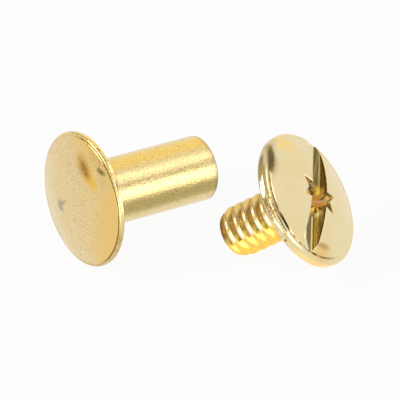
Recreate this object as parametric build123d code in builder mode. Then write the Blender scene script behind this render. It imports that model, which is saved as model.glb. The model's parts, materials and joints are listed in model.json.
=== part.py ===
from build123d import *
import os
from math import atan2, cos, radians, sin, tan

# Binding barrel screw: a two-piece turned brass fastener, shown unscrewed.
# The barrel is a domed head on a plain tube with a blind bore for the thread.  The screw
# is a domed head with a combined slot and star recess on a short shank.
# The turns of the thread are left out: the shank has the thread's outer diameter and the
# bore has its tapping size.
# Each piece is drawn upright on its own axis: z = 0 is the underside of its head, the
# crown is above it and the tube or shank hangs below.  Both are then laid on the
# surface z = 0 as they come to rest: on the rim of the head and the free end.

# --- thread shared by the two pieces: number 10, 24 turns to the inch -------------------
thread_diameter = 4.826
tapping_diameter = 3.9

# --- both heads ------------------------------------------------------------------------
head_diameter = 12.7
head_lower_chamfer = 0.08

# --- barrel ------------------------------------------------------------------------------
tube_length = 12.85
tube_diameter = 6.2
tube_end_chamfer = 0.2
barrel_rim_wall = 0.27
barrel_rim_round_height = 0.21
barrel_rim_round_width = 0.22
barrel_crown_height = 1.05
bore_depth = 11.3
bore_mouth_chamfer = 0.55
drill_point_angle = 118.0

# --- screw -------------------------------------------------------------------------------
shank_length = 8.1
shank_end_diameter = 4.2
shank_end_taper_length = 1.0
screw_rim_wall = 0.45
screw_rim_round_height = 0.43
screw_rim_round_width = 0.5
screw_crown_height = 1.12

# --- drive of the screw: a slot across the head and two fishtail wings square to it ------
slot_direction = 21
slot_tilt = 1.4
slot_floor_width = 0.7
slot_floor_height = 0.7
slot_flare_width = 1.9
slot_flare_height = 0.4
slot_wall_angle = 3
wing_root_half_width = 0.8
wing_root_reach = 0.85
wing_corner_half_width = 1.03
wing_corner_reach = 2.24
wing_notch_reach = 1.5
wing_floor_height = 0.3
wing_narrowing_per_mm = 0.36
recess_centre_diameter = 1.0
recess_centre_height = 0.0
recess_centre_angle = 60.0

# --- how the pair lies: directions in which the head faces, and the step between heads ---
barrel_heading = -150.5
screw_heading = -24.0
screw_head_ahead_x = 19.23
screw_head_ahead_y = -7.42

head_radius = head_diameter / 2
thread_radius = thread_diameter / 2
barrel_rim_height = barrel_rim_wall + barrel_rim_round_height
barrel_head_height = barrel_rim_height + barrel_crown_height
screw_rim_height = screw_rim_wall + screw_rim_round_height
screw_head_height = screw_rim_height + screw_crown_height


def head_outline(rim_wall, rim_height, rim_round_width, head_height, stem_radius):
    """Half outline of a domed head, from the middle of its crown to the stem below it."""
    crown_edge = (head_radius - rim_round_width, rim_height)
    TangentArc((0, head_height), crown_edge, tangent=(1, 0))
    TangentArc((head_radius, rim_wall), crown_edge, tangent=(0, 1))
    Polyline(
        (head_radius, rim_wall),
        (head_radius, head_lower_chamfer),
        (head_radius - head_lower_chamfer, 0),
        (stem_radius, 0),
    )


def rest_tilt(stem_end_radius, stem_end_reach):
    """Tilt of a piece that lies on the lower edge of its head and on its stem's end."""
    return atan2(head_radius - stem_end_radius, stem_end_reach + head_lower_chamfer)


def rest_plane(tilt, heading, x, y):
    """Plane of a lying head: x level, z out of the crown, its rim touching z = 0."""
    height = head_radius * cos(tilt) - head_lower_chamfer * sin(tilt)
    facing = radians(heading)
    return Plane(
        origin=(x, y, height),
        x_dir=(-sin(facing), cos(facing), 0),
        z_dir=(cos(tilt) * cos(facing), cos(tilt) * sin(facing), sin(tilt)),
    )


# --- barrel: turned outline with its drilled bore -----------------------------------------
tube_radius = tube_diameter / 2
bore_radius = tapping_diameter / 2
drill_point_height = bore_radius / tan(radians(drill_point_angle / 2))
bore_bottom = bore_depth - tube_length

with BuildPart() as barrel:
    with BuildSketch(Plane.XZ):
        with BuildLine():
            head_outline(
                barrel_rim_wall,
                barrel_rim_height,
                barrel_rim_round_width,
                barrel_head_height,
                tube_radius,
            )
            Polyline(
                (tube_radius, 0),
                (tube_radius, tube_end_chamfer - tube_length),
                (tube_radius - tube_end_chamfer, -tube_length),
                (bore_radius + bore_mouth_chamfer, -tube_length),
                (bore_radius, bore_mouth_chamfer - tube_length),
                (bore_radius, bore_bottom),
                (0, bore_bottom + drill_point_height),
                (0, barrel_head_height),
            )
        make_face()
    revolve(axis=Axis.Z)

# --- screw: turned outline, then the slot and star recess ---------------------------------
shank_end_radius = shank_end_diameter / 2

with BuildPart() as screw:
    with BuildSketch(Plane.XZ):
        with BuildLine():
            head_outline(
                screw_rim_wall,
                screw_rim_height,
                screw_rim_round_width,
                screw_head_height,
                thread_radius,
            )
            Polyline(
                (thread_radius, 0),
                (thread_radius, shank_end_taper_length - shank_length),
                (shank_end_radius, -shank_length),
                (0, -shank_length),
                (0, screw_head_height),
            )
        make_face()
    revolve(axis=Axis.Z)

    slot_facing = radians(slot_direction)
    slot_level = cos(radians(slot_tilt))
    slot_wall_height = screw_head_height - slot_flare_height
    slot_top_width = slot_flare_width + 2 * slot_wall_height * tan(radians(slot_wall_angle))
    slot_plane = Plane(
        origin=(0, 0, slot_floor_height),
        x_dir=(-sin(slot_facing), cos(slot_facing), 0),
        z_dir=(
            cos(slot_facing) * slot_level,
            sin(slot_facing) * slot_level,
            -sin(radians(slot_tilt)),
        ),
    )
    with BuildSketch(slot_plane):
        with BuildLine():
            Polyline(
                (-slot_floor_width / 2, 0),
                (slot_floor_width / 2, 0),
                (slot_flare_width / 2, slot_flare_height),
                (slot_top_width / 2, screw_head_height),
                (-slot_top_width / 2, screw_head_height),
                (-slot_flare_width / 2, slot_flare_height),
                close=True,
            )
        make_face()
    extrude(amount=head_radius, both=True, mode=Mode.SUBTRACT)

    wing_quarter = [
        (wing_root_half_width, wing_root_reach),
        (wing_corner_half_width, wing_corner_reach),
    ]
    for height in (wing_floor_height, screw_head_height):
        narrowing = 1 - (screw_head_height - height) * wing_narrowing_per_mm
        star_plane = Plane.XY.offset(height).rotated((0, 0, slot_direction))
        with BuildSketch(star_plane):
            with BuildLine():
                upper = wing_quarter + [(0, wing_notch_reach)]
                upper += [(-along, across) for along, across in reversed(wing_quarter)]
                lower = [(-along, -across) for along, across in upper]
                Polyline(*[(a * narrowing, b * narrowing) for a, b in upper + lower], close=True)
            make_face()
    loft(ruled=True, mode=Mode.SUBTRACT)
    with BuildSketch(Plane.XZ):
        with BuildLine():
            centre_radius = recess_centre_diameter / 2
            centre_cone = centre_radius / tan(radians(recess_centre_angle))
            Polyline(
                (0, recess_centre_height),
                (centre_radius, recess_centre_height + centre_cone),
                (centre_radius, screw_head_height),
                (0, screw_head_height),
                close=True,
            )
        make_face()
    revolve(axis=Axis.Z, mode=Mode.SUBTRACT)

# --- lay the pair down and centre it over its footprint -----------------------------------
barrel_tilt = rest_tilt(tube_radius, tube_length - tube_end_chamfer)
screw_tilt = rest_tilt(shank_end_radius, shank_length)
barrel.part.locate(rest_plane(barrel_tilt, barrel_heading, 0, 0).location)
screw.part.locate(
    rest_plane(screw_tilt, screw_heading, screw_head_ahead_x, screw_head_ahead_y).location
)
footprint = barrel.part.bounding_box().add(screw.part.bounding_box())
to_middle = Location((-footprint.center().X, -footprint.center().Y, 0))
barrel.part.locate(to_middle * barrel.part.location)
screw.part.locate(to_middle * screw.part.location)

os.makedirs("parts", exist_ok=True)
barrel.part.label = "barrel"
export_step(barrel.part, "parts/barrel.step")
screw.part.label = "screw"
export_step(screw.part, "parts/screw.step")
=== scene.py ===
import json
from math import asin, atan2, ceil, cos, hypot, pi, radians, sin, sqrt, tan

import bmesh
import bpy
from mathutils import Matrix, Vector


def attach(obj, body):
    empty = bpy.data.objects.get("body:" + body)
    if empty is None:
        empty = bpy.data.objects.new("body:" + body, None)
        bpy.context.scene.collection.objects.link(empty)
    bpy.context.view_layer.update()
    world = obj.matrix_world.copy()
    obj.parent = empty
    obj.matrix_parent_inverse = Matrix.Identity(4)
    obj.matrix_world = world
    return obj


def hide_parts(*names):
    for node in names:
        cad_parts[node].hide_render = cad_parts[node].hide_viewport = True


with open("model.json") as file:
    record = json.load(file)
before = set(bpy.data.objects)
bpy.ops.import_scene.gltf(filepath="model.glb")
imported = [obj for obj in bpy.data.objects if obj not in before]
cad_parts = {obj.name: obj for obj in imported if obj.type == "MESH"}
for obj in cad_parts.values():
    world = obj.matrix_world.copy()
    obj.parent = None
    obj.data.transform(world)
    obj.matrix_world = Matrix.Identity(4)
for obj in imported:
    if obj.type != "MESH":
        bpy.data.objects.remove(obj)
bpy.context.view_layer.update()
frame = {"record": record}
mounts = {mount["name"]: mount for mount in frame["record"]["mounts"]}

# Sizes in millimetres, each piece on its own axis: z = 0 is the underside of its head.
MM = 0.001
HEAD_RADIUS = 6.35
LOWER_EDGE = 0.08
THREAD_PITCH = 25.4 / 24
THREAD_RADIUS = 2.413
THREAD_ROOT_RADIUS = 1.83
THREAD_PLAY = 0.05
BORE_RADIUS = 1.95

BARREL_HEAD = dict(rim_wall=0.27, rim_height=0.48, rim_width=0.22, crown=1.05)
BARREL_NECK_ROUND = 0.2
TUBE_RADIUS = 3.1
TUBE_LENGTH = 12.85
TUBE_END_ROUND = 0.22
BORE_DEPTH = 11.3
BORE_MOUTH = 0.55
BORE_LIP = 0.03
TAPPED_DEPTH = 9.6
DRILL_POINT_HALF_ANGLE = 59

SCREW_HEAD = dict(rim_wall=0.45, rim_height=0.88, rim_width=0.5, crown=1.12)
SCREW_NECK_ROUND = 0.15
NECK_REACH = 3.0
SHANK_LENGTH = 8.1
SHANK_END_RADIUS = 2.1
SHANK_TAPER = 1.0
THREAD_CREST_AT_X = -5.445
END_BLEND = 0.06

SLOT_DIRECTION = 21
SLOT_FLOOR_HALF_WIDTH = 0.35
SLOT_FLOOR = 0.7
SLOT_FALL = tan(radians(1.4))
SLOT_FLARE_HALF_WIDTH = 0.95
SLOT_FLARE_HEIGHT = 0.4
SLOT_FLARE_SLOPE = (SLOT_FLARE_HALF_WIDTH - SLOT_FLOOR_HALF_WIDTH) / SLOT_FLARE_HEIGHT
SLOT_WALL_SLOPE = tan(radians(3))
# quarter of the wings' outline, along and across the slot: its middle, root, tip and notch
WING_OUTLINE = [(0.8, 0.0), (0.8, 0.85), (1.03, 2.24), (0.0, 1.5)]
WING_FLOOR = 0.3
WING_NARROWING = 0.36
RECESS_CENTRE_RADIUS = 0.5
RECESS_CENTRE_FLOOR = 0.0
RECESS_CENTRE_HALF_ANGLE = 60
RECESS_EDGE_ROUND = 0.06
CROWN_TOP = SCREW_HEAD["rim_height"] + SCREW_HEAD["crown"]
AROUND = 192


# --- placing ---
def head_frame(stem, seat):
    """Matrix from a piece's own millimetres to where it lies, from two of its mounts."""
    up = -Vector(mounts[stem]["axis"]).normalized()
    on_axis = Vector(mounts[stem]["pos_m"])
    centre = on_axis + up * (Vector(mounts[seat]["pos_m"]) - on_axis).dot(up)
    level = Vector((0, 0, 1)).cross(up).normalized()
    turned = Matrix((level, up.cross(level), up)).transposed().to_4x4()
    return Matrix.Translation(centre) @ turned @ Matrix.Scale(MM, 4)


barrel_frame = head_frame("barrel_post", "barrel_seat")
screw_frame = head_frame("screw_thread", "screw_seat")


def part_way(one, other, share):
    """Number this share of the way from one to the other."""
    return one + (other - one) * share


def new_object(name, data):
    """Object with this data, linked to the scene."""
    made = bpy.data.objects.new(name, data)
    bpy.context.scene.collection.objects.link(made)
    return made


# --- head forms ---
def crown_radius(head):
    """Radius of the sphere that the crown is part of."""
    reach = HEAD_RADIUS - head["rim_width"]
    return (reach**2 + head["crown"] ** 2) / (2 * head["crown"])


def rim_round(head):
    """Radius of the round that joins the rim's wall to the crown's edge."""
    rise = head["rim_height"] - head["rim_wall"]
    return (head["rim_width"] ** 2 + rise**2) / (2 * head["rim_width"])


def head_height(head, reach):
    """Height of the crown or of the rim's round at a distance from the axis."""
    if reach <= HEAD_RADIUS - head["rim_width"]:
        ball = crown_radius(head)
        return head["rim_height"] + head["crown"] - ball + sqrt(ball**2 - reach**2)
    small = rim_round(head)
    out = min(reach - (HEAD_RADIUS - small), small)
    return head["rim_wall"] + sqrt(max(small**2 - out**2, 0))


def rim_points(head, steps=14):
    """Rim from the crown's edge over its round, down the wall to the head's underside."""
    small, wall = rim_round(head), head["rim_wall"]
    first = asin((small - head["rim_width"]) / small)
    points = []
    for i in range(steps + 1):
        turn = first + (pi / 2 - first) * i / steps
        points.append((HEAD_RADIUS - small + small * sin(turn), wall + small * cos(turn)))
    for i in range(1, 4):
        points.append((HEAD_RADIUS, wall + (LOWER_EDGE - wall) * i / 3))
    for i in range(1, 4):
        turn = pi / 2 * i / 3
        inward, downward = LOWER_EDGE * cos(turn), LOWER_EDGE * sin(turn)
        points.append((HEAD_RADIUS - LOWER_EDGE + inward, LOWER_EDGE - downward))
    return points


def crease_points(head, width=0.09, depth=0.015):
    """Fine crease where the crown meets the rim."""
    edge = HEAD_RADIUS - head["rim_width"]
    height = head_height(head, edge)
    return [
        (edge - width, head_height(head, edge - width)),
        (edge - width * 0.45, height - depth * 0.55),
        (edge - width * 0.15, height - depth),
        (edge + width * 0.15, height - depth * 0.8),
    ]


# --- mesh tools ---
def add_ring(mesh, reach, height, around=AROUND):
    """Corners of a level ring round the axis, or the one corner on the axis."""
    if reach < 1e-6:
        return [mesh.verts.new((0, 0, height))]
    turns = [2 * pi * i / around for i in range(around)]
    return [mesh.verts.new((reach * cos(turn), reach * sin(turn), height)) for turn in turns]


def skin(mesh, one, other):
    """Faces between two rings of as many corners, or a ring and a pole."""
    count = max(len(one), len(other))
    for i in range(count):
        j = (i + 1) % count
        if len(one) == 1:
            corners = [one[0], other[i], other[j]]
        elif len(other) == 1:
            corners = [one[i], one[j], other[0]]
        else:
            corners = [one[i], one[j], other[j], other[i]]
        mesh.faces.new(corners)


def skin_all(mesh, rings):
    """Faces between each ring and the next."""
    for one, other in zip(rings, rings[1:]):
        skin(mesh, one, other)


def add_turned(mesh, outline, around=AROUND):
    """Turned surface of an outline of (reach, height) points."""
    skin_all(mesh, [add_ring(mesh, reach, height, around) for reach, height in outline])


def arc(centre, radius, start, end, steps):
    """Points of an arc in the plane of reach and height, angles in degrees."""
    points = []
    for i in range(steps + 1):
        turn = radians(start + (end - start) * i / steps)
        points.append((centre[0] + radius * cos(turn), centre[1] + radius * sin(turn)))
    return points


def add_copy(mesh, source):
    """Moves an object's mesh into this one."""
    mesh.from_mesh(source.data)
    bpy.data.objects.remove(source)


def finished_piece(name, mesh, place, material, sharp_angle=32):
    """Closes a mesh, lays it where its frame says and makes it an object."""
    bmesh.ops.remove_doubles(mesh, verts=mesh.verts, dist=2e-5)
    bmesh.ops.dissolve_degenerate(mesh, edges=mesh.edges, dist=1e-5)
    bmesh.ops.recalc_face_normals(mesh, faces=mesh.faces)
    open_edges = [edge for edge in mesh.edges if len(edge.link_faces) != 2]
    if open_edges:
        print(name, "has", len(open_edges), "edges that don't join two faces")
    mesh.transform(place)
    data = bpy.data.meshes.new(name)
    mesh.to_mesh(data)
    mesh.free()
    data.materials.clear()
    data.materials.append(material)
    data.polygons.foreach_set("material_index", [0] * len(data.polygons))
    data.shade_smooth()
    data.set_sharp_from_angle(angle=radians(sharp_angle))
    return new_object(name, data)


# --- node helpers ---
class Tree:
    """Node tree with short calls that add nodes and link them."""

    def __init__(self, tree):
        self.nodes = tree.nodes
        self.links = tree.links

    def put(self, socket, value):
        """Links an output to a socket, or gives the socket a plain value."""
        if isinstance(value, bpy.types.NodeSocket):
            self.links.new(value, socket)
        else:
            socket.default_value = value

    def node(self, kind, inputs=None, **settings):
        """New node with these settings and inputs."""
        node = self.nodes.new(kind)
        for name, value in settings.items():
            setattr(node, name, value)
        for label, value in (inputs or {}).items():
            self.put(node.inputs[label], value)
        return node

    def calc(self, operation, *values):
        """Result of one math operation on the values."""
        inputs = dict(enumerate(values))
        return self.node("ShaderNodeMath", inputs, operation=operation).outputs[0]

    def times(self, *values):
        """Product of the values."""
        product = values[0]
        for value in values[1:]:
            product = self.calc("MULTIPLY", product, value)
        return product

    def ranged(self, value, low, high, to_low=0.0, to_high=1.0, kind="SMOOTHSTEP"):
        """Value taken from one range to another and held at the ends."""
        inputs = dict(enumerate((value, low, high, to_low, to_high)))
        node = self.node("ShaderNodeMapRange", inputs, interpolation_type=kind)
        return node.outputs["Result"]

    def band(self, value, middle, inner, outer):
        """1 where the value is within inner of the middle, 0 where it is past outer."""
        off = self.calc("ABSOLUTE", self.calc("SUBTRACT", value, middle))
        return self.ranged(off, outer, inner)

    def mix(self, share, one, other):
        """Colour this share of the way from one to the other."""
        inputs = {0: share, 6: one, 7: other}
        return self.node("ShaderNodeMix", inputs, data_type="RGBA").outputs[2]

    def layered(self, base, *layers):
        """Base under layers, each a colour and the factors of its share."""
        for colour, *factors in layers:
            base = self.mix(self.times(*factors), base, colour)
        return base

    def parts(self, point):
        """The x, y and z of a point."""
        return self.node("ShaderNodeSeparateXYZ", {0: point}).outputs

    def seen_by(self, *kinds):
        """1 for the named kinds of ray, 0 for all others."""
        path = self.node("ShaderNodeLightPath").outputs
        total = path[kinds[0]]
        for kind in kinds[1:]:
            total = self.calc("MAXIMUM", total, path[kind])
        return total


# --- thread ---
def thread_tree(name, material):
    """Tree that turns a grid into a threaded surface along the axis.

    The grid's rows follow the thread, so each row keeps one place between crest and root.
    The sizes given here are the shank's.
    """
    tree = bpy.data.node_groups.new(name, "GeometryNodeTree")
    for label, value in {
        "Crest Radius": THREAD_RADIUS,
        "Root Radius": THREAD_ROOT_RADIUS,
        "Pitch": THREAD_PITCH,
        "First Crest": 0.0,
        "Turns": 10,
        "Rows Per Turn": 20,
        "Columns": AROUND,
        "Crest Flat": 0.16,
        "Root Flat": 0.04,
        "Crest Roundness": 1.7,
        "Bottom": -SHANK_LENGTH,
        "Top": -SCREW_NECK_ROUND,
        "Run Out": 0.9,
        "End Radius": SHANK_END_RADIUS,
        "End Taper": SHANK_TAPER,
        "Inside": False,
    }.items():
        kind = {float: "NodeSocketFloat", int: "NodeSocketInt", bool: "NodeSocketBool"}[type(value)]
        socket = tree.interface.new_socket(label, in_out="INPUT", socket_type=kind)
        socket.default_value = value
    tree.interface.new_socket("Geometry", in_out="OUTPUT", socket_type="NodeSocketGeometry")
    maker = Tree(tree)
    node, calc, times, ranged = maker.node, maker.calc, maker.times, maker.ranged
    given = node("NodeGroupInput").outputs
    crest, pitch, first = given["Crest Radius"], given["Pitch"], given["First Crest"]
    bottom, top = given["Bottom"], given["Top"]

    # flat grid, one unit each way: how far round the axis, and which turn
    rows = times(given["Turns"], given["Rows Per Turn"])
    grid = node("GeometryNodeMeshGrid", {
        "Size X": 1.0,
        "Size Y": 1.0,
        "Vertices X": calc("ADD", given["Columns"], 1.0),
        "Vertices Y": calc("ADD", rows, 1.0),
    })
    place = maker.parts(node("GeometryNodeInputPosition").outputs[0])
    around = calc("ADD", place["X"], 0.5)
    turn = times(calc("ADD", place["Y"], 0.5), given["Turns"])

    # rows past an end are folded onto it, and take that end's place on the thread
    height = calc("MULTIPLY_ADD", calc("ADD", turn, around), pitch, first)
    height = calc("MAXIMUM", calc("MINIMUM", height, top), bottom)
    turn = calc("SUBTRACT", calc("DIVIDE", calc("SUBTRACT", height, first), pitch), around)

    # groove, which runs out towards the top
    from_crest = times(calc("PINGPONG", turn, 0.5), pitch)
    flank_start = times(given["Crest Flat"], 0.5)
    flank_end = calc("SUBTRACT", times(pitch, 0.5), times(given["Root Flat"], 0.5))
    flank = ranged(from_crest, flank_start, flank_end, kind="LINEAR")
    run_out = ranged(height, calc("SUBTRACT", top, given["Run Out"]), top, 1.0, 0.0)
    groove = times(calc("POWER", flank, given["Crest Roundness"]), run_out)
    deep = calc("SUBTRACT", given["Root Radius"], crest)
    reach = calc("MULTIPLY_ADD", groove, deep, crest)

    # taper at the bottom, which narrows a shank and widens a bore
    taper_top = calc("ADD", bottom, given["End Taper"])

    def taper(to_radius):
        return ranged(height, bottom, taper_top, given["End Radius"], to_radius, kind="LINEAR")

    clear = calc("ADD", crest, END_BLEND)
    reach = node("GeometryNodeSwitch", {
        "Switch": given["Inside"],
        "False": calc("SMOOTH_MIN", reach, taper(clear), END_BLEND),
        "True": calc("MAXIMUM", reach, taper(crest)),
    }, input_type="FLOAT").outputs[0]

    # the grid wound round the axis and closed
    angle = times(around, 2 * pi)
    wound = node("ShaderNodeCombineXYZ", {
        "X": times(reach, calc("COSINE", angle)),
        "Y": times(reach, calc("SINE", angle)),
        "Z": height,
    })
    shape = grid.outputs["Mesh"]
    for kind, inputs in (
        ("GeometryNodeSetPosition", {"Position": wound.outputs[0]}),
        ("GeometryNodeMergeByDistance", {"Distance": 1e-4}),
        ("GeometryNodeRealizeInstances", {}),
        ("GeometryNodeSetMaterial", {"Material": material}),
    ):
        shape = node(kind, {"Geometry": shape, **inputs}).outputs[0]
    node("NodeGroupOutput", {"Geometry": shape})
    return tree


def threaded_surface(name, tree, **sizes):
    """Plain mesh object of a thread tree with these sizes."""
    carrier = new_object(name, bpy.data.meshes.new(name))
    modifier = carrier.modifiers.new("Thread", "NODES")
    modifier.node_group = tree
    named = {item.name: item.identifier for item in tree.interface.items_tree}
    for label, value in sizes.items():
        modifier[named[label.replace("_", " ")]] = value
    graph = bpy.context.evaluated_depsgraph_get()
    data = bpy.data.meshes.new_from_object(carrier.evaluated_get(graph))
    carrier.modifiers.remove(modifier)
    carrier.data = data
    return carrier


def first_crest(crest_at_x, bottom):
    """Crest height on the x axis, some turns down, that starts the grid below its bottom."""
    return crest_at_x - THREAD_PITCH * (ceil((crest_at_x - bottom) / THREAD_PITCH) + 1)


def end_ring(mesh, height, reach_limit, tolerance=1e-3):
    """Corners of the mesh's open edge in a level plane, in order round the axis."""

    def inside(corner):
        x, y, z = corner.co
        return abs(z - height) < tolerance and hypot(x, y) < reach_limit

    edges = [edge for edge in mesh.edges if edge.is_boundary and all(map(inside, edge.verts))]
    corners = {corner for edge in edges for corner in edge.verts}
    return sorted(corners, key=lambda corner: atan2(corner.co.y, corner.co.x))


# --- slot and star recess ---
# Its points are given along the slot and across it, from the head's axis.
def wing_point(share):
    """Point on the wings' full-size outline: 1 is the root, 2 the tip and 3 the notch."""
    part = min(int(share), 2)
    (a0, c0), (a1, c1) = WING_OUTLINE[part], WING_OUTLINE[part + 1]
    return part_way(a0, a1, share - part), part_way(c0, c1, share - part)


def wing_reach(angle):
    """Distance from the axis to the wings' full-size outline, by direction from the slot."""
    ux, uy = cos(angle), sin(angle)
    for (a0, c0), (a1, c1) in zip(WING_OUTLINE, WING_OUTLINE[1:]):
        if angle <= atan2(c1, a1) + 1e-9:
            da, dc = a1 - a0, c1 - c0
            share = (c0 * ux - a0 * uy) / (da * uy - dc * ux)
            return (a0 + da * share) * ux + (c0 + dc * share) * uy
    return WING_OUTLINE[-1][1]


def slot_floor(along):
    """Height of the slot's floor, which falls a little towards one end."""
    return SLOT_FLOOR - along * SLOT_FALL


def slot_height(along, across):
    """Height of the slot's floor, flare or wall at a point."""
    across = abs(across)
    if across <= SLOT_FLARE_HALF_WIDTH:
        rise = max(0, across - SLOT_FLOOR_HALF_WIDTH) / SLOT_FLARE_SLOPE
    else:
        rise = SLOT_FLARE_HEIGHT + (across - SLOT_FLARE_HALF_WIDTH) / SLOT_WALL_SLOPE
    return slot_floor(along) + rise


def slot_half_width(along, height):
    """Half the slot's width at a height."""
    rise = height - slot_floor(along)
    if rise <= SLOT_FLARE_HEIGHT:
        return SLOT_FLOOR_HALF_WIDTH + max(0, rise) * SLOT_FLARE_SLOPE
    return SLOT_FLARE_HALF_WIDTH + (rise - SLOT_FLARE_HEIGHT) * SLOT_WALL_SLOPE


def wing_height(along, across):
    """Height of the wings' wall or floor at a point."""
    along, across = abs(along), abs(across)
    size = hypot(along, across) / wing_reach(atan2(across, along))
    return max(WING_FLOOR, CROWN_TOP - (1 - size) / WING_NARROWING)


def on_head(along, across):
    """Height of the screw's crown and rim at a point, without the recess."""
    return head_height(SCREW_HEAD, min(hypot(along, across), HEAD_RADIUS))


def on_wall(along, across):
    """Height of the slot's and the wings' surface at a point."""
    return min(on_head(along, across), slot_height(along, across), wing_height(along, across))


def on_recess(along, across):
    """Height of the recess at a point, with its centre hole."""
    reach = hypot(along, across)
    if reach > RECESS_CENTRE_RADIUS + 1e-6:
        return on_wall(along, across)
    cone = RECESS_CENTRE_FLOOR + reach / tan(radians(RECESS_CENTRE_HALF_ANGLE))
    return min(on_wall(along, across), cone)


def slot_edge(along):
    """Point of the slot's upper edge at a distance along it."""
    across = SLOT_FLOOR_HALF_WIDTH
    for _ in range(60):
        across = (across + slot_half_width(along, on_head(along, across))) / 2
    return along, across


def wing_edge(share):
    """Point of the wings' upper edge on the crown."""
    a, c = wing_point(share)
    size = 1.0
    for _ in range(40):
        size = 1 - (CROWN_TOP - head_height(SCREW_HEAD, hypot(a, c) * size)) * WING_NARROWING
    return a * size, c * size


def solve(function, low, high):
    """Place where a rising function crosses zero."""
    for _ in range(50):
        middle = (low + high) / 2
        if function(middle) > 0:
            high = middle
        else:
            low = middle
    return (low + high) / 2


def middle_of(one, other):
    """Point midway between two points."""
    return (one[0] + other[0]) / 2, (one[1] + other[1]) / 2


def recess_quarter(side):
    """Columns of one quarter of the recess, from the slot's end round to the wing's notch.

    A column is four points (along, across): the recess's upper edge, the bend of its wall,
    the wall's foot and where the floor meets the centre hole.  side is 1 for the slot's
    deep end and -1 for its other end.
    """
    hole = RECESS_CENTRE_RADIUS
    half = SLOT_FLOOR_HALF_WIDTH
    flare = SLOT_FLARE_HALF_WIDTH
    floor_size = 1 - (CROWN_TOP - WING_FLOOR) * WING_NARROWING
    first_turn = radians(2)

    def edge_at(along):
        return along, slot_edge(side * along)[1]

    def on_hole(angle):
        return hole * cos(angle), hole * sin(angle)

    def floor_point(share):
        along, across = wing_point(share)
        return along * floor_size, across * floor_size

    # where the slot ends on the rim, and where its upper edge meets the wings'
    edge_of_crown, inset, corner_run = 5.9, 0.18, 0.42
    end = solve(
        lambda r: slot_floor(side * r) - head_height(SCREW_HEAD, r), edge_of_crown, HEAD_RADIUS
    )
    end_along = sqrt(end**2 - half**2)
    inner_end = end - inset
    crossing = solve(lambda s: wing_edge(s)[1] - edge_at(wing_edge(s)[0])[1], 1.0, 2.0)
    root_along = wing_edge(crossing)[0]
    corner = root_along + corner_run
    side_start = part_way(crossing, 2, 0.12)
    valley_bend = solve(
        lambda a: wing_height(a, flare) - slot_height(side * a, flare), 0.2, root_along
    )

    # directions on the centre hole: the slot's floor, its valley with the wing, the wing
    floor_start = solve(lambda s: hypot(*floor_point(s)) - hole, 1.0, 2.0)
    hole_wing = atan2(*reversed(floor_point(floor_start)))
    hole_valley = solve(
        lambda turn: slot_height(0, hole * sin(turn)) - wing_height(*on_hole(turn)),
        0.1, hole_wing,
    )
    hole_slot = min(asin(min(half / hole, 1)), hole_valley - radians(4))
    hole_tip = part_way(hole_wing, pi / 2, 0.5)

    # each stretch of columns, by the share of the way along it
    def slot_end(t):
        turn = asin(half / end) * t
        edge = end * cos(turn), end * sin(turn)
        foot = inner_end, half * t * 0.98
        return edge, middle_of(edge, foot), foot, on_hole(first_turn * t)

    def slot_side(t):
        edge = edge_at(part_way(end_along, corner, t**1.7))
        foot_across = half + (hole * sin(hole_slot) - half) * max(0, t - 0.9) * 10
        foot = part_way(inner_end, hole * cos(hole_slot), t**1.3), foot_across
        across = min(flare, max(edge[1] - 0.03, (edge[1] + foot[1]) / 2))
        share = (across - foot[1]) / max(edge[1] - foot[1], 1e-6)
        bend = part_way(foot[0], edge[0], share), across
        return edge, bend, foot, on_hole(part_way(first_turn, hole_slot, t))

    def slot_corner(t):
        foot = on_hole(part_way(hole_slot, hole_valley, t))
        bend = part_way(slot_side(1)[1][0], valley_bend, t), flare
        return edge_at(part_way(corner, root_along, t)), bend, foot, foot

    def wing_root(t):
        edge = wing_edge(part_way(crossing, side_start, t))
        foot = on_hole(part_way(hole_valley, hole_wing, t))
        bend = middle_of(edge, foot) if t > 0 else (valley_bend, flare)
        return edge, bend, foot, foot

    def wing_side(t):
        edge = wing_edge(part_way(side_start, 2, t))
        foot = floor_point(part_way(floor_start, 2, t))
        return edge, middle_of(edge, foot), foot, on_hole(part_way(hole_wing, hole_tip, t))

    def wing_notch(t):
        edge, foot = wing_edge(2 + t), floor_point(2 + t)
        return edge, middle_of(edge, foot), foot, on_hole(part_way(hole_tip, pi / 2, t))

    columns = []
    for count, stretch in (
        (4, slot_end), (24, slot_side), (4, slot_corner),
        (2, wing_root), (12, wing_side), (10, wing_notch),
    ):
        columns += [stretch(i / count) for i in range(count)]
    columns.append(wing_notch(1.0))
    return [tuple((side * along, across) for along, across in column) for column in columns]


def whole_round():
    """The recess's columns all round, from the slot's deep end to its other end and back."""
    half = recess_quarter(1) + recess_quarter(-1)[-2::-1]
    other = [tuple((along, -across) for along, across in column) for column in half[-2:0:-1]]
    return half + other


# --- rings of the screw's head ---
def round_point(reach, turn, height):
    """Point at a distance and direction from the axis."""
    return Vector((reach * cos(turn), reach * sin(turn), height))


def lift(points, height, size=1.0):
    """Points spread from the axis by a size and raised to a surface."""
    return [Vector((a * size, c * size, height(a * size, c * size))) for a, c in points]


def between(lower, upper, share):
    """Level places this share of the way from each lower point to its upper one."""
    return [one.lerp(other, share).to_2d() for one, other in zip(lower, upper)]


def rounded_edges(edges, bends):
    """Where the round of the recess's upper edge starts on the wall and ends on the crown."""
    tops, lips = [], []
    for i, edge in enumerate(edges):
        before, after = edges[i - 1], edges[(i + 1) % len(edges)]
        outward = Vector((after.y - before.y, before.x - after.x, 0)).normalized()
        wall = edge - bends[i]
        tops.append(edge - wall * min(RECESS_EDGE_ROUND / max(wall.length, 1e-6), 0.4))
        lip = edge + outward * RECESS_EDGE_ROUND
        over = max(lip.to_2d().length - HEAD_RADIUS, 0)
        height = on_head(lip.x, lip.y) - over
        flat = lip.to_2d() * min(1, HEAD_RADIUS / lip.to_2d().length)
        lips.append(Vector((flat.x, flat.y, height)))
    return tops, lips


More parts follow.
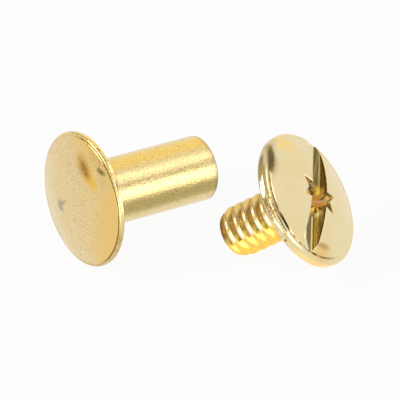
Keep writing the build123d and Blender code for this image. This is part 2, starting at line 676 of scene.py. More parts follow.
def recess_rings():
    """Rings from the bottom of the recess up to its lips on the crown."""
    columns = whole_round()
    edge, bend, foot, hole = ([column[i] for column in columns] for i in range(4))
    rings = [[Vector((0, 0, RECESS_CENTRE_FLOOR))]]
    rings += [lift(hole, on_recess, size) for size in (0.35, 0.7, 0.94, 1.0)]
    past_hole = 1.004
    feet = lift(foot, on_wall, past_hole)
    bends, edges = lift(bend, on_wall), lift(edge, on_head)
    rings += [lift(hole, on_wall, past_hole), feet]
    tops, lips = rounded_edges(edges, bends)
    for lower, upper, shares in ((feet, bends, (0.33, 0.67, 1.0)), (bends, tops, (0.5,))):
        rings += [lift(between(lower, upper, share), on_wall) for share in shares]
    for share in (0.0, 0.25, 0.5, 0.75, 1.0):
        rings.append([
            top * (1 - share) ** 2 + middle * 2 * share * (1 - share) + lip * share**2
            for top, middle, lip in zip(tops, edges, lips)
        ])
    return rings


def rim_angles(lips, limit):
    """Directions in which the columns cross the rim.

    They are even, but for the slot's ends, where they follow the slot's own lips.
    """
    count = len(lips)
    step = 2 * pi / count
    angles = [0.0] * count
    quarter = count // 4
    for start, way in ((0, 1), (2 * quarter, -1), (2 * quarter, 1), (count, -1)):
        own = [lips[(start + way * k) % count] for k in range(quarter + 1)]
        turns = [atan2(abs(point.y), abs(point.x)) for point in own]
        last = max(k for k in range(quarter) if own[k].to_2d().length >= limit)
        for k in range(last + 1, quarter + 1):
            turns[k] = turns[last] + (pi / 2 - turns[last]) * (k - last) / (quarter - last)
        for k, turn in enumerate(turns):
            if start + way * k < count:
                angles[start + way * k] = step * start + way * turn
    return angles


def crown_rings(lips, angles, first):
    """Rings from the lips over the crown to its crease; lips beyond the crease stay put."""
    goals = [
        round_point(first, turn, 0) if lip.to_2d().length < first - 0.02 else lip
        for lip, turn in zip(lips, angles)
    ]
    steps = 25
    rings = []
    for step in range(1, steps):
        level = lift(between(lips, goals, (step / steps) ** 1.25), on_head)
        rings.append([
            lip.copy() if goal is lip else point for lip, goal, point in zip(lips, goals, level)
        ])
    return rings


def rim_rings(lips, angles):
    """Rings of the crease and the rim, which stop at the lips where the slot cuts them."""
    rings = []
    for reach, height in crease_points(SCREW_HEAD) + rim_points(SCREW_HEAD)[1:]:
        rings.append([
            lip.copy() if reach <= lip.to_2d().length + 0.01 and height > lip.z - 0.03
            else round_point(reach, turn, height)
            for lip, turn in zip(lips, angles)
        ])
    return rings


def underside_rings(angles):
    """Rings under the head, which turn until their columns are even and meet the shank's."""
    step = 2 * pi / len(angles)
    snapped = round(radians(SLOT_DIRECTION) / step) * step - radians(SLOT_DIRECTION)
    rings = []
    for reach, share in ((5.2, 0.4), (4.0, 0.8), (NECK_REACH, 1.0)):
        turns = [part_way(angle, step * i + snapped, share) for i, angle in enumerate(angles)]
        rings.append([round_point(reach, turn, 0) for turn in turns])
    return rings


def screw_head_rings():
    """Rings of the screw's head from the bottom of its recess out to its underside."""
    inner = recess_rings()
    lips = inner[-1]
    first = crease_points(SCREW_HEAD)[0][0]
    angles = rim_angles(lips, first - 0.02)
    outer = crown_rings(lips, angles, first) + rim_rings(lips, angles)
    return inner + outer + underside_rings(angles)


# --- the two shells ---
def screw_mesh(tree):
    """The screw as one closed shell: recessed head, then the threaded shank and its end."""
    mesh = bmesh.new()
    turn = Matrix.Rotation(radians(SLOT_DIRECTION), 3, "Z")
    rings = [[mesh.verts.new(turn @ point) for point in ring] for ring in screw_head_rings()]
    skin_all(mesh, rings)
    around = len(rings[-1])
    neck = SCREW_NECK_ROUND
    fillet = arc((THREAD_RADIUS + neck, -neck), neck, 90, 180, 5)
    add_turned(mesh, [(NECK_REACH, 0)] + fillet, around)
    add_copy(mesh, threaded_surface(
        "shank_thread", tree,
        First_Crest=first_crest(THREAD_CREST_AT_X, -SHANK_LENGTH), Columns=around,
    ))

    # the flat end, in a ring a little way in and from there to one corner
    outer = end_ring(mesh, -SHANK_LENGTH, THREAD_RADIUS + 0.5)
    places = [(corner.co.x * 0.9, corner.co.y * 0.9, -SHANK_LENGTH) for corner in outer]
    inner = [mesh.verts.new(place) for place in places]
    skin_all(mesh, [outer, inner, add_ring(mesh, 0, -SHANK_LENGTH)])
    return mesh


def barrel_mesh(tree):
    """The barrel as one closed shell: head, tube, mouth, tapped bore and drill point."""
    mesh = bmesh.new()
    crease = crease_points(BARREL_HEAD)
    crown = [crease[0][0] * i / 44 for i in range(44)]
    neck, end = BARREL_NECK_ROUND, TUBE_END_ROUND
    plain = TUBE_LENGTH - neck - end
    mouth = BORE_RADIUS + BORE_MOUTH
    tap_top, bore_top = TAPPED_DEPTH - TUBE_LENGTH, BORE_DEPTH - TUBE_LENGTH
    point = BORE_RADIUS / tan(radians(DRILL_POINT_HALF_ANGLE))
    add_turned(mesh, [
        *((reach, head_height(BARREL_HEAD, reach)) for reach in crown),
        *crease,
        *rim_points(BARREL_HEAD)[1:],
        (5.4, 0),
        (4.2, 0),
        *arc((TUBE_RADIUS + neck, -neck), neck, 90, 180, 6),
        *((TUBE_RADIUS, -neck - plain * i / 24) for i in range(1, 24)),
        *arc((TUBE_RADIUS - end, end - TUBE_LENGTH), end, 0, -90, 6),
        (mouth + 0.05, -TUBE_LENGTH),
        (mouth, BORE_LIP - TUBE_LENGTH),
    ])
    add_copy(mesh, threaded_surface(
        "bore_thread", tree,
        Crest_Radius=BORE_RADIUS, Root_Radius=THREAD_RADIUS + THREAD_PLAY,
        First_Crest=first_crest(-TUBE_LENGTH, -TUBE_LENGTH),
        Turns=ceil(TAPPED_DEPTH / THREAD_PITCH) + 3, Rows_Per_Turn=16,
        Crest_Flat=0.14, Root_Flat=0.08, Crest_Roundness=1.0,
        Bottom=BORE_LIP - TUBE_LENGTH, Top=tap_top, Run_Out=0.8,
        End_Radius=mouth, End_Taper=BORE_MOUTH, Inside=True,
    ))
    add_turned(mesh, [
        (BORE_RADIUS, tap_top),
        (BORE_RADIUS, bore_top),
        (BORE_RADIUS / 2, bore_top + point / 2),
        (0, bore_top + point),
    ])
    return mesh


# --- brass ---
class Shader(Tree):
    """A material's nodes, and the places on its piece: millimetres on the piece's own axis."""

    def __init__(self, name, place=None):
        self.material = bpy.data.materials.new(name)
        self.material.use_nodes = True
        super().__init__(self.material.node_tree)
        self.surface = self.nodes["Principled BSDF"]
        self.object_point = self.node("ShaderNodeTexCoord").outputs["Object"]
        if place:
            location, rotation = place.to_translation(), place.to_euler("XYZ")
            scale = (MM, MM, MM)
            self.point = self.mapped(self.object_point, location, rotation, scale, "TEXTURE")
            self.x, self.y, self.z = self.parts(self.point)
            squares = self.calc("MULTIPLY_ADD", self.y, self.y, self.times(self.x, self.x))
            self.reach = self.calc("SQRT", squares)

    def mapped(self, point, move=(0, 0, 0), turn=(0, 0, 0), scale=(1, 1, 1), kind="POINT"):
        """Point in moved, turned and scaled axes."""
        inputs = {"Vector": point, "Location": move, "Rotation": turn, "Scale": scale}
        return self.node("ShaderNodeMapping", inputs, vector_type=kind).outputs["Vector"]

    def turned(self, point, angle):
        """Point in axes turned about the upright one by an angle in degrees."""
        return self.mapped(point, turn=(0, 0, radians(-angle)))

    def lean(self, x_share, y_share):
        """Distance towards one side of the piece."""
        return self.calc("MULTIPLY_ADD", self.x, x_share, self.times(self.y, y_share))

    def noise(self, scale, detail, roughness, point=None):
        """Noise from 0 to 1 at each place on the piece, or at another point."""
        point = point or self.point
        inputs = {"Vector": point, "Scale": scale, "Detail": detail, "Roughness": roughness}
        return self.node("ShaderNodeTexNoise", inputs).outputs["Fac"]

    def spot(self, point, centre, size, turn, edge):
        """Soft patch round a point: 1 in its middle, 0 past its size, in millimetres."""
        inside = self.mapped(point, centre, (0, 0, radians(turn)), size, "TEXTURE")
        length = self.node("ShaderNodeVectorMath", {0: inside}, operation="LENGTH")
        return self.ranged(length.outputs["Value"], 1.0, 1.0 - edge)

    def marks(self, table):
        """Layers of marks on the upper side of the head, which specks break up."""
        above = self.ranged(self.z, 0.04, 0.2)
        layers = []
        for centre, size, turn, edge, colour, share, broken in table:
            patch = self.spot(self.point, centre, size, turn, edge)
            whole = self.ranged(self.specks, 0.35, 0.62, 1.0 - broken, 1.0)
            layers.append((colour, patch, whole, above, share))
        return layers

    def bump(self, height, strength, distance, base=None):
        """Normal that shows a height as relief, over another normal if one is given."""
        inputs = {"Height": height, "Strength": strength, "Distance": distance}
        if base:
            inputs["Normal"] = base
        return self.node("ShaderNodeBump", inputs).outputs["Normal"]

    def finished(self, colour, roughness, normal):
        """The material as metal with this colour, roughness and relief."""
        look = {"Base Color": colour, "Metallic": 1.0, "Roughness": roughness, "Normal": normal}
        for label, value in look.items():
            self.put(self.surface.inputs[label], value)
        return self.material


CHAMPAGNE = (0.88, 0.745, 0.44, 1)
WARM_CHAMPAGNE = (0.88, 0.72, 0.40, 1)
FACE_BRASS = (0.86, 0.67, 0.335, 1)
FACE_GOLD = (0.86, 0.58, 0.19, 1)
FACE_PALE = (0.84, 0.69, 0.39, 1)
TUBE_GOLD = (0.89, 0.72, 0.35, 1)
THREAD_GOLD = (0.99, 0.70, 0.11, 1)
THREAD_DIM_REFLECTION = (0.72, 0.60, 0.38, 1)
GROOVE_SHADE = (0.30, 0.16, 0.03, 1)
CREST_HIGHLIGHT = (0.97, 0.92, 0.70, 1)
ROSY_STAIN = (0.66, 0.40, 0.20, 1)
BROWN_STAIN_AND_SHADE = (0.36, 0.19, 0.04, 1)
OLIVE_STAIN_AND_SHADE = (0.36, 0.31, 0.14, 1)
GREY_PATCH = (0.30, 0.28, 0.18, 1)
SMEAR = (0.50, 0.29, 0.055, 1)
STREAK_GOLD = (0.88, 0.55, 0.08, 1)
DARK_SMUDGE_AND_SHADE = (0.16, 0.13, 0.05, 1)
UMBER = (0.11, 0.058, 0.006, 1)
BEIGE = (0.64, 0.58, 0.48, 1)
MOUTH_EDGE_SHADE = (0.50, 0.38, 0.24, 1)
CREASE_SHADE = (0.22, 0.12, 0.03, 1)
SLOT_OLIVE = (0.17, 0.12, 0.03, 1)
SLOT_PALER = (0.30, 0.24, 0.085, 1)
SLOT_AMBER = (0.47, 0.27, 0.045, 1)
SLOT_LINE = (0.10, 0.06, 0.012, 1)
SLOT_BRIGHT = (0.92, 0.74, 0.36, 1)
STAR_ORANGE = (0.52, 0.24, 0.04, 1)

# Marks on the heads: centre, size and turn, in millimetres and degrees; how soft the edge
# is; colour; share; how much of it the specks take away.
BARREL_MARKS = (
    # round the smear: gold, and olive patches that paint a dark reflection up to the rim
    ((1.7, 3.6, 0.9), (3.0, 1.4, 9), -36, 0.9, FACE_GOLD, 0.85, 0.2),
    ((2.2, 5.1, 0.6), (1.7, 0.85, 9), -32, 0.7, OLIVE_STAIN_AND_SHADE, 0.26, 0.3),
    ((3.75, 3.3, 0.8), (0.7, 1.3, 9), 25, 0.8, OLIVE_STAIN_AND_SHADE, 0.20, 0.4),
    # the smear, its bright streak and its brown middle
    ((2.30, 3.05, 1.1), (1.8, 0.80, 9), -37, 0.8, STREAK_GOLD, 0.95, 0.2),
    ((1.15, 3.85, 1.1), (1.95, 1.1, 9), -36, 0.85, SMEAR, 0.92, 0.35),
    ((1.40, 3.66, 1.1), (1.35, 0.50, 9), -38, 0.75, BROWN_STAIN_AND_SHADE, 0.92, 0.4),
    # dark spot near the rim, with a thin tail
    ((3.45, 4.15, 0.7), (0.85, 0.36, 9), -12, 0.75, DARK_SMUDGE_AND_SHADE, 0.92, 0.3),
    ((3.05, 4.75, 0.7), (0.16, 0.95, 9), 18, 0.8, OLIVE_STAIN_AND_SHADE, 0.7, 0.5),
    # grey spot low on the face, with its arm
    ((-2.12, -1.15, 1.3), (0.85, 0.95, 9), 25, 0.9, GREY_PATCH, 1.0, 0.5),
    ((-1.70, -0.75, 1.3), (1.1, 0.28, 9), 35, 0.8, GREY_PATCH, 0.85, 0.5),
    # faint marks
    ((1.3, 0.3, 1.4), (0.45, 0.35, 9), 0, 0.9, OLIVE_STAIN_AND_SHADE, 0.22, 0.9),
    ((-0.6, -3.2, 1.3), (0.5, 0.9, 9), 20, 0.9, OLIVE_STAIN_AND_SHADE, 0.2, 0.9),
    ((-2.6, 1.3, 1.3), (0.7, 1.1, 9), 10, 0.9, ROSY_STAIN, 0.16, 0.9),
)
SCREW_MARKS = (
    # painted dim reflection on the top of the rim, and a painted dark reflection beside it
    ((-0.2, 6.20, 0.7), (3.4, 0.80, 9), 4, 0.6, BEIGE, 0.85, 0.1),
    ((-1.3, 5.45, 0.9), (2.3, 0.85, 9), 24, 0.85, OLIVE_STAIN_AND_SHADE, 0.75, 0.2),
    ((-1.2, 5.62, 0.9), (2.2, 0.50, 9), 22, 0.6, UMBER, 0.95, 0.25),
    ((-3.2, 4.75, 0.9), (1.1, 0.30, 9), 38, 0.8, DARK_SMUDGE_AND_SHADE, 0.6, 0.3),
    # brown patch near the slot's shallow end, in gold
    ((-3.70, -3.16, 1.2), (1.35, 0.50, 9), -50, 0.85, BROWN_STAIN_AND_SHADE, 0.85, 0.3),
    ((-4.35, -3.50, 1.0), (1.9, 1.1, 9), -48, 0.9, FACE_GOLD, 0.95, 0.2),
    # side of the rim: brown specks, and a painted highlight above them
    ((-5.0, 2.9, 0.9), (1.6, 0.16, 9), 58, 0.7, BROWN_STAIN_AND_SHADE, 0.6, 0.9),
    ((-5.3, 3.1, 0.6), (1.9, 0.55, 9), 60, 0.5, BROWN_STAIN_AND_SHADE, 0.95, 1.0),
    ((-4.45, 4.25, 0.7), (1.5, 0.30, 9), 47, 0.6, SLOT_BRIGHT, 0.9, 0.1),
)
# Marks in the star, in the slot's axes: centre, size, colour, share.
STAR_MARKS = (
    ((-1.75, -0.95, 1.2), (0.75, 0.5, 1.2), SLOT_BRIGHT, 0.85),
    ((0.9, -1.7, 1.6), (0.5, 0.5, 0.9), STREAK_GOLD, 0.8),
    ((-0.9, -1.7, 1.6), (0.35, 0.5, 0.9), STREAK_GOLD, 0.8),
    ((0.9, 1.4, 1.6), (0.5, 0.4, 0.9), STAR_ORANGE, 0.7),
    ((1.1, 1.25, 1.3), (0.28, 0.26, 0.5), SLOT_LINE, 1.0),
)


def barrel_face(brass):
    """Mottled crown of the barrel's head: paler on its left, warmer right and above."""
    ranged, clouds, mottle = brass.ranged, brass.clouds, brass.mottle
    rosy_area = brass.spot(brass.point, (-0.5, 2.9, 1.2), (1.7, 1.2, 9), 10, 0.8)
    rosy = brass.calc("MULTIPLY_ADD", rosy_area, 0.25, 0.6)
    return brass.layered(
        FACE_BRASS,
        (FACE_PALE, ranged(clouds, 0.38, 0.62), 0.5),
        (FACE_GOLD, ranged(mottle, 0.50, 0.66), 0.30),
        (OLIVE_STAIN_AND_SHADE, ranged(brass.fine, 0.55, 0.65), 0.42),
        (ROSY_STAIN, ranged(brass.specks, 0.52, 0.61), rosy, ranged(clouds, 0.35, 0.6, 0.5, 1.0)),
        (FACE_PALE, ranged(brass.lean(-0.83, -0.35), 1.6, 5.6), 0.75),
        (FACE_GOLD, ranged(brass.lean(0.98, -0.16), 2.0, 5.2), ranged(mottle, 0.3, 0.6, 0.7, 1.0)),
        (FACE_GOLD, ranged(brass.lean(0.35, 1.0), 4.2, 6.0), 0.85),
        *brass.marks(BARREL_MARKS),
    )


def barrel_rim(brass):
    """Grainy rim with brown specks, fewer of them on a painted highlight on its right side."""
    ranged, noise = brass.ranged, brass.noise
    # painted highlight: the right side of the rim keeps fewer brown specks
    painted_highlight = brass.times(brass.band(brass.y, 0.8, 1.6, 3.0), ranged(brass.x, 3.0, 4.5))
    dirt_less_on_highlight = brass.calc("MULTIPLY_ADD", painted_highlight, -0.6, 0.9)
    return brass.layered(
        FACE_GOLD,
        (SLOT_BRIGHT, ranged(noise(5.5, 4.0, 0.7), 0.36, 0.52)),
        (BROWN_STAIN_AND_SHADE, ranged(noise(4.0, 3.0, 0.6), 0.54, 0.68), dirt_less_on_highlight),
        (BROWN_STAIN_AND_SHADE, ranged(brass.y, 0.4, -1.8), 0.35),
    )


def barrel_tube(brass):
    """Sandy satin tube, with painted shade at its root and on the round of its mouth, and brown in
    its bore.
    """
    ranged, z, reach = brass.ranged, brass.z, brass.reach
    return brass.layered(
        TUBE_GOLD,
        (FACE_BRASS, ranged(brass.clouds, 0.35, 0.65), 0.5),
        (FACE_GOLD, ranged(brass.specks, 0.54, 0.64), 0.55),
        (OLIVE_STAIN_AND_SHADE, ranged(brass.fine, 0.54, 0.62), 0.55),
        # painted shade round the tube's root by the head, and on the round of its mouth
        (DARK_SMUDGE_AND_SHADE, brass.band(z, -0.12, 0.05, 0.3), ranged(reach, 3.8, 3.3)),
        (MOUTH_EDGE_SHADE, ranged(z, 0.6 - TUBE_LENGTH, 0.15 - TUBE_LENGTH), 0.75),
        (BROWN_STAIN_AND_SHADE, ranged(reach, 2.9, 2.6), ranged(z, -0.3, -0.6)),
    )


def barrel_brass():
    """Barrel: a mottled, stained face with painted dark reflections and painted shade in its
    crease, a grainy rim with a painted highlight and a sandy satin tube with painted shade at its
    root and mouth.
    """
    brass = Shader("barrel brass", barrel_frame)
    calc, ranged, times = brass.calc, brass.ranged, brass.times
    brass.clouds = brass.noise(0.55, 4.0, 0.6)
    brass.mottle = brass.noise(2.0, 5.0, 0.68)
    brass.specks = brass.noise(4.6, 4.0, 0.65)
    brass.fine = brass.noise(8.0, 2.0, 0.6)

    # the rim, and the painted shade in the crease beside it, lie round the crown's edge
    edge = HEAD_RADIUS - BARREL_HEAD["rim_width"]
    past_edge = ranged(brass.reach, edge - 0.01, edge + 0.05)
    on_rim = times(past_edge, ranged(brass.z, -0.02, 0.05))
    crease = brass.band(brass.reach, edge - 0.02, 0.03, 0.10)
    head = brass.layered(
        barrel_face(brass),
        (barrel_rim(brass), on_rim),
        (CREASE_SHADE, crease, ranged(brass.lean(0.9, 0.3), 0.5, 3.5)),
    )
    on_head = ranged(brass.z, -0.06, -0.01)
    colour = brass.mix(on_head, barrel_tube(brass), head)

    face_rough = ranged(brass.mottle, 0.35, 0.7, 0.07, 0.15)
    face_rough = calc("MULTIPLY_ADD", on_rim, 0.03, face_rough)
    tube_rough = ranged(brass.specks, 0.35, 0.65, 0.025, 0.07)
    rough = calc("MULTIPLY_ADD", on_head, calc("SUBTRACT", face_rough, tube_rough), tube_rough)

    # pits on the face, sand on the tube and the rim
    sandy = calc("MAXIMUM", calc("SUBTRACT", 1.0, on_head), times(on_rim, 0.6))
    sand = brass.bump(times(brass.noise(5.6, 3.0, 0.7), sandy), 1.0, 0.028 * MM)
    pits = calc("ADD", times(ranged(brass.specks, 0.64, 0.54), 0.6), times(brass.mottle, 0.6))
    return brass.finished(colour, rough, brass.bump(pits, 0.5, 0.012 * MM, sand))


def screw_face(brass):
    """Smooth champagne crown and rim of the screw's head, with painted shade in the crease and
    brown specks along its left side.
    """
    ranged, mottle, reach = brass.ranged, brass.mottle, brass.reach
    edge = HEAD_RADIUS - SCREW_HEAD["rim_width"]
    return brass.layered(
        CHAMPAGNE,
        (WARM_CHAMPAGNE, ranged(brass.clouds, 0.38, 0.62)),
        (CHAMPAGNE, ranged(brass.clouds, 0.62, 0.38), 0.6),
        (FACE_PALE, ranged(mottle, 0.5, 0.7), 0.25),
        (ROSY_STAIN, ranged(brass.specks, 0.60, 0.72), 0.18),
        *brass.marks(SCREW_MARKS),
        # painted shade in the crease, along the left side
        (
            SLOT_LINE,
            brass.band(reach, edge - 0.06, 0.06, 0.11),
            ranged(mottle, 0.35, 0.6, 0.35, 1.0),
            ranged(brass.lean(-0.9, 0.1), 1.0, 4.0, 0.0, 0.95),
            ranged(brass.z, 0.5, 0.7),
        ),
        (
            BROWN_STAIN_AND_SHADE,
            ranged(reach, edge + 0.05, edge + 0.15),
            ranged(brass.noise(3.6, 4.0, 0.7), 0.54, 0.62),
            ranged(brass.lean(-0.95, 0.1), 3.6, 5.4),
            ranged(brass.y, -1.6, 0.0),
        ),
    )


def screw_slot(brass, face):
    """Slot, darkened by painted shade and tarnish: olive on one side, streaky amber on the other,
    with a painted highlight line and a painted shade line between them.
    """
    calc, ranged, times, band = brass.calc, brass.ranged, brass.times, brass.band
    along, across, streaks = brass.along, brass.across, brass.streaks
    thin = brass.noise(6.5, 3.0, 0.6, brass.mapped(brass.slot_point, scale=(0.10, 1.5, 2.2)))
    deep_end = ranged(along, -0.8, 0.8)
    from_line = calc("SUBTRACT", across, calc("MULTIPLY_ADD", deep_end, -0.44, -0.42))
    amber = brass.layered(
        SLOT_OLIVE,
        (SLOT_AMBER, ranged(streaks, 0.36, 0.60)),
        (STREAK_GOLD, ranged(thin, 0.56, 0.66), 0.8),
    )
    pale_share = calc("MULTIPLY_ADD", deep_end, -0.55, 0.85)
    lower = brass.layered(
        SLOT_OLIVE,
        (SLOT_PALER, ranged(streaks, 0.42, 0.62)),
        (amber, ranged(from_line, 0.03, -0.03)),
        # painted highlight line along the valley, and a painted shade line beside it
        (SLOT_BRIGHT, band(from_line, 0.0, 0.03, 0.08), pale_share),
        (SLOT_LINE, band(from_line, -0.14, 0.02, 0.07), 0.8),
    )

    # the wall of the upper flare keeps the face's colour, but for the stretch by the star; the rest
    # of the slot takes the painted shade and tarnish
    shade_and_tarnish_from = calc("MULTIPLY_ADD", deep_end, -0.62, 0.24)
    shade_and_tarnish_from = calc("ADD", shade_and_tarnish_from, times(ranged(along, -4.4, -5.9), -0.5))
    shade_and_tarnish = ranged(calc("SUBTRACT", across, shade_and_tarnish_from), 0.06, -0.04)
    near_star = times(band(along, 0.0, 2.0, 3.2), 0.75)
    # painted shade line along one lip of the slot
    lip = times(ranged(brass.depth, 0.24, 0.14), ranged(across, -0.86, -0.92))
    return brass.layered(
        face,
        (lower, calc("MAXIMUM", shade_and_tarnish, near_star)),
        (SLOT_LINE, lip, ranged(brass.mottle, 0.3, 0.5, 0.6, 1.0)),
    )


def screw_star(brass):
    """Star, darkened by painted shade where it is deep: amber and gold lobes that spread from
    beside its middle, with dark edges.
    """
    calc, ranged, times = brass.calc, brass.ranged, brass.times
    mottle, depth, point = brass.mottle, brass.depth, brass.slot_point
    bearing = calc("ARCTAN2", calc("ADD", brass.along, 0.45), calc("ADD", brass.across, 0.70))
    lobes = calc("SINE", calc("MULTIPLY_ADD", bearing, 7.0, times(mottle, 5.0)))
    return brass.layered(
        SLOT_LINE,
        (SLOT_AMBER, ranged(lobes, -0.8, -0.3)),
        (STREAK_GOLD, ranged(lobes, 0.55, 0.95)),
        (SLOT_AMBER, ranged(calc("MULTIPLY_ADD", mottle, 0.8, depth), 0.9, 0.5)),
        (STAR_ORANGE, brass.spot(point, (0.15, -0.80, 1.0), (0.85, 0.75, 1.6), 0, 0.45)),
        *(
            (colour, brass.spot(point, centre, size, 0, 0.5), share)
            for centre, size, colour, share in STAR_MARKS
        ),
        (SLOT_LINE, ranged(depth, 0.40, 0.24), ranged(mottle, 0.40, 0.50), 0.85),
    )


def screw_shank(brass):
    """Threads: deep yellow, with painted shade in the grooves and at the root, and a painted dark
    reflection and painted crest highlights above.
    """
    ranged, mottle = brass.ranged, brass.mottle
    y, z, reach = brass.y, brass.z, brass.reach
    return brass.layered(
        # deep yellow, which also stands in for the reflections between the turns
        THREAD_GOLD,
        (FACE_GOLD, ranged(mottle, 0.4, 0.65)),
        # painted dark reflection on the upper side
        (THREAD_DIM_REFLECTION, ranged(y, 0.6, 2.0), 0.7),
        # painted highlights on the crests
        (CREST_HIGHLIGHT, ranged(reach, 2.28, 2.36), brass.band(y, 0.75, 0.3, 0.7), 0.8),
        # painted shade in the grooves, more of it on the upper side
        (GROOVE_SHADE, ranged(reach, 2.15, 1.9), 0.4),
        (
            GROOVE_SHADE,
            ranged(reach, 2.36, 2.20),
            ranged(y, 0.4, 1.0),
            ranged(y, 2.3, 1.9),
            ranged(mottle, 0.3, 0.5, 0.6, 1.0),
        ),
        # painted shade at the root, under the head
        (BROWN_STAIN_AND_SHADE, ranged(z, -0.35, -0.05), ranged(reach, 2.9, 2.6)),
        (WARM_CHAMPAGNE, ranged(reach, 2.6, 3.0)),
    )


def recess_share(brass):
    """1 on the cut surfaces of the recess, 0 on the rest of the screw."""
    calc, ranged, reach = brass.calc, brass.ranged, brass.reach
    in_slot = brass.band(brass.across, 0.0, 0.99, 1.02)
    slot_end = ranged(brass.along, -1.0, 1.0, 6.05, 6.31)
    return brass.times(
        ranged(brass.depth, 0.012, 0.045),
        calc("MAXIMUM", in_slot, ranged(reach, 5.0, 4.6)),
        ranged(calc("SUBTRACT", reach, slot_end), 0.03, -0.03),
        calc("MAXIMUM", ranged(brass.z, 0.1, 0.2), ranged(reach, 3.0, 2.6)),
    )


def screw_brass():
    """Screw: a smooth champagne face, a recess darkened by painted shade and tarnish, and deep
    yellow threads with painted shade and highlights.
    """
    brass = Shader("screw brass", screw_frame)
    calc, ranged, times, mix = brass.calc, brass.ranged, brass.times, brass.mix
    brass.slot_point = brass.turned(brass.point, SLOT_DIRECTION)
    brass.along, brass.across, _ = brass.parts(brass.slot_point)
    brass.clouds = brass.noise(0.45, 3.0, 0.5)
    brass.mottle = brass.noise(1.8, 4.0, 0.6)
    brass.specks = brass.noise(8.0, 3.0, 0.6)
    stretched = brass.mapped(brass.slot_point, scale=(0.16, 1.3, 1.6))
    brass.streaks = brass.noise(3.6, 4.0, 0.62, stretched)
    ball = crown_radius(SCREW_HEAD)
    crown = calc("SQRT", calc("SUBTRACT", ball**2, times(brass.reach, brass.reach)))
    brass.depth = calc("SUBTRACT", calc("ADD", crown, CROWN_TOP - ball), brass.z)

    recess = recess_share(brass)
    arms = ranged(calc("ABSOLUTE", brass.across), 0.95, 1.02)
    starry = calc("MAXIMUM", arms, ranged(brass.reach, 2.1, 1.5))
    face = screw_face(brass)
    head = mix(recess, face, mix(starry, screw_slot(brass, face), screw_star(brass)))
    colour = mix(ranged(brass.z, -0.04, 0.0), screw_shank(brass), head)

    rough = ranged(brass.mottle, 0.35, 0.7, 0.055, 0.12)
    rough = calc("MULTIPLY_ADD", recess, 0.13, rough)
    rough = calc("MULTIPLY_ADD", times(starry, recess), 0.05, rough)
    ridged = brass.bump(times(brass.streaks, recess), 0.5, 0.03 * MM)
    small = calc("ADD", times(brass.mottle, 0.6), times(brass.specks, 0.25))
    return brass.finished(colour, rough, brass.bump(small, 0.2, 0.010 * MM, ridged))


# --- the two pieces ---
barrel_finish = barrel_brass()
screw_finish = screw_brass()
thread = thread_tree("thread turns", screw_finish)
barrel = finished_piece("barrel_turned", barrel_mesh(thread), barrel_frame, barrel_finish)
screw = finished_piece("screw_turned", screw_mesh(thread), screw_frame, screw_finish)
for piece, node in ((barrel, "barrel"), (screw, "screw")):
    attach(piece, "root")
    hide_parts(node)
# left out of all reflections, because its own would fall on the end of the tube
screw.visible_glossy = False


# --- floor ---
WHITE = (1, 1, 1, 1)
FLOOR_PALE = (0.9, 0.9, 0.89, 1)
FLOOR_GLOW = 0.93
FLOOR_MIRRORED = (0.95, 0.94, 0.92, 1)
FLOOR_SHADED = (0.54, 0.53, 0.41, 1)
FLOOR_FAR_GLOW = (2.2, 2.15, 2.0, 1)
FLOOR_NEAR_GLOW = (1.15, 1.02, 0.78, 1)

# The tube's line over the floor, in metres, and in degrees the axes turned along it.
TUBE_HEADING = 29.5
TUBE_SIDE = 0.0040
TUBE_START = -0.0074
TUBE_HEIGHT = 0.0061
TUBE_FALL = 0.255
# level direction towards the front, in those axes
FRONT_ALONG = 0.507
FRONT_ACROSS = 0.861


def pale_floor():
    """Pale matt floor that takes the shadows and is white to straight rays.

    Mirrored rays see it with a painted shadow beside the tube, a painted glow farther out and a
    warm painted glow under the shank.
    """
    floor = Shader("pale floor")
    calc, times, ranged = floor.calc, floor.times, floor.ranged
    floor.nodes.remove(floor.surface)
    matt = floor.node("ShaderNodeBsdfDiffuse", {"Color": FLOOR_PALE}).outputs[0]

    # each place as seen from the tube: how far in front of it, and how low
    beside, before, _ = floor.parts(floor.turned(floor.object_point, TUBE_HEADING))
    away = calc("DIVIDE", calc("SUBTRACT", TUBE_SIDE, before), FRONT_ACROSS)
    from_head = calc("MULTIPLY_ADD", away, -FRONT_ALONG, beside)
    from_head = calc("SUBTRACT", from_head, TUBE_START)
    height = calc("MULTIPLY_ADD", from_head, -TUBE_FALL, TUBE_HEIGHT)
    flat = calc("DIVIDE", away, calc("MAXIMUM", height, 0.001))
    in_line = times(ranged(from_head, -0.002, 0.0), ranged(from_head, 0.016, 0.013))

    length = floor.node("ShaderNodeLightPath").outputs["Ray Length"]
    x, y, _ = floor.parts(floor.object_point)
    least = calc("MAXIMUM", 0.008, calc("SUBTRACT", x, 0.005))
    mirrored = floor.layered(
        FLOOR_MIRRORED,
        # painted shadow beside the tube
        (FLOOR_SHADED, ranged(flat, 0.05, 0.3), ranged(flat, 3.3, 2.8), in_line),
        # painted glow farther out, for rays that come from far enough
        (
            FLOOR_FAR_GLOW,
            ranged(flat, 2.9, 3.3),
            ranged(calc("SUBTRACT", length, least), 0.0, 0.003),
            in_line,
        ),
        # warm painted glow under the shank, for rays that come from close by
        (
            FLOOR_NEAR_GLOW,
            ranged(y, -0.001, -0.0025),
            ranged(x, -0.002, 0.0),
            ranged(x, 0.0115, 0.0105),
            ranged(length, 0.0075, 0.0055),
        ),
    )

    colour = floor.mix(floor.seen_by("Is Camera Ray"), mirrored, WHITE)
    glow = floor.node("ShaderNodeEmission", {"Color": colour}).outputs[0]
    seen = floor.seen_by("Is Camera Ray", "Is Glossy Ray", "Is Transmission Ray")
    both = floor.node("ShaderNodeMixShader", {0: times(seen, FLOOR_GLOW), 1: matt, 2: glow})
    floor.put(floor.nodes["Material Output"].inputs["Surface"], both.outputs[0])
    return floor.material


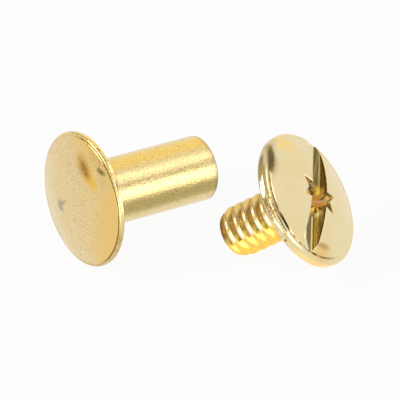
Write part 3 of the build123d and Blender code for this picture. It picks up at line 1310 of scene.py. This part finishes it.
def floor_disc(radius=0.09):
    """Round floor under the pair."""
    disc = bmesh.new()
    bmesh.ops.create_circle(disc, cap_ends=True, radius=radius, segments=96)
    data = bpy.data.meshes.new("floor")
    disc.to_mesh(data)
    disc.free()
    data.materials.append(pale_floor())
    return new_object("floor", data)


floor_piece = floor_disc()


# --- light ---
# Cards round the pieces: from and to, round from the front and up, in degrees; softness
# of the edges; colour.  Later cards stand in front of earlier ones.
STUDIO = (0.93, 0.92, 0.90, 1)
STUDIO_DIFFUSE = (0.55, 0.55, 0.55, 1)
CARDS = (
    # overhead, dim
    ((-200, 200), (60, 95), 10, (0.55, 0.49, 0.36, 1)),
    # back, warm
    ((130, 200), (8, 70), 14, (1.08, 0.93, 0.52, 1)),
    # left: dark card, light on the rim, low softbox
    ((-155, -72), (15, 75), 7, (0.48, 0.42, 0.29, 1)),
    ((-104, -84), (22, 33), 3, (4.0, 3.9, 3.7, 1)),
    ((-58, -20), (-24, 13), 5, (3.6, 3.5, 3.2, 1)),
    # right: light on the edge, dark line, low softbox
    ((76, 104), (31, 46), 4, (2.2, 2.15, 2.0, 1)),
    ((50, 75), (13, 25), 1.5, (0.07, 0.06, 0.03, 1)),
    ((28, 76), (-30, 12), 2, (3.0, 3.0, 2.9, 1)),
)


def studio_world():
    """White to straight rays; mirrored rays see a light studio with a few cards."""
    world = bpy.data.worlds.new("studio")
    world.use_nodes = True
    sky = Tree(world.node_tree)
    calc, times, ranged, mix = sky.calc, sky.times, sky.ranged, sky.mix
    x, y, z = sky.parts(sky.node("ShaderNodeTexCoord").outputs["Generated"])
    to_degrees = 180 / pi
    up = times(calc("ARCSINE", z), to_degrees)
    from_front = times(calc("ARCTAN2", x, times(y, -1.0)), to_degrees)
    colour = STUDIO
    for (left, right), (low, high), soft, card in CARDS:
        off = calc("SUBTRACT", from_front, (left + right) / 2)
        off = calc("ABSOLUTE", calc("WRAP", off, 180.0, -180.0))
        half, edge = (right - left) / 2, soft / 2
        inside = times(
            ranged(off, half + edge, half - edge),
            ranged(up, low - edge, low + edge),
            ranged(up, high + edge, high - edge),
        )
        colour = mix(inside, colour, card)
    plain = mix(sky.seen_by("Is Diffuse Ray"), WHITE, STUDIO_DIFFUSE)
    colour = mix(sky.seen_by("Is Glossy Ray"), plain, colour)
    sky.put(sky.nodes["Background"].inputs["Color"], colour)
    return world


def softbox(name, place, size, power):
    """Square lamp that faces the middle of the pair."""
    data = bpy.data.lights.new(name, "AREA")
    data.shape = "SQUARE"
    data.size = size
    data.energy = power
    lamp = new_object(name, data)
    lamp.location = place
    away = Vector(place) - Vector((0, 0, 0.005))
    lamp.rotation_euler = away.to_track_quat("Z", "Y").to_euler()


bpy.context.scene.world = studio_world()
softbox("key", (-0.17, 0.01, 0.17), 0.1, 0.16)
softbox("fill", (0.05, -0.2, 0.18), 0.14, 0.06)


# --- camera ---
CAMERA_ELEVATION = radians(32.66)
CAMERA_ROLL = radians(12.19)
CAMERA_TARGET = Vector((0.000326, 0.007595, 0))
CAMERA_DISTANCE = 0.30115


def front_camera():
    """Camera in front of the pair that looks down on it, with the picture turned a little."""
    data = bpy.data.cameras.new("camera")
    data.lens = 288
    data.sensor_width = 36
    data.clip_start = 0.01
    towards = Vector((0, -cos(CAMERA_ELEVATION), sin(CAMERA_ELEVATION)))
    right, up = Vector((1, 0, 0)), Vector((0, sin(CAMERA_ELEVATION), cos(CAMERA_ELEVATION)))
    axes = Matrix((
        right * cos(CAMERA_ROLL) - up * sin(CAMERA_ROLL),
        right * sin(CAMERA_ROLL) + up * cos(CAMERA_ROLL),
        towards,
    )).transposed().to_4x4()
    camera = new_object("camera", data)
    camera.matrix_world = Matrix.Translation(CAMERA_TARGET + towards * CAMERA_DISTANCE) @ axes
    return camera


bpy.context.scene.camera = front_camera()
bpy.context.scene.view_settings.view_transform = "Standard"
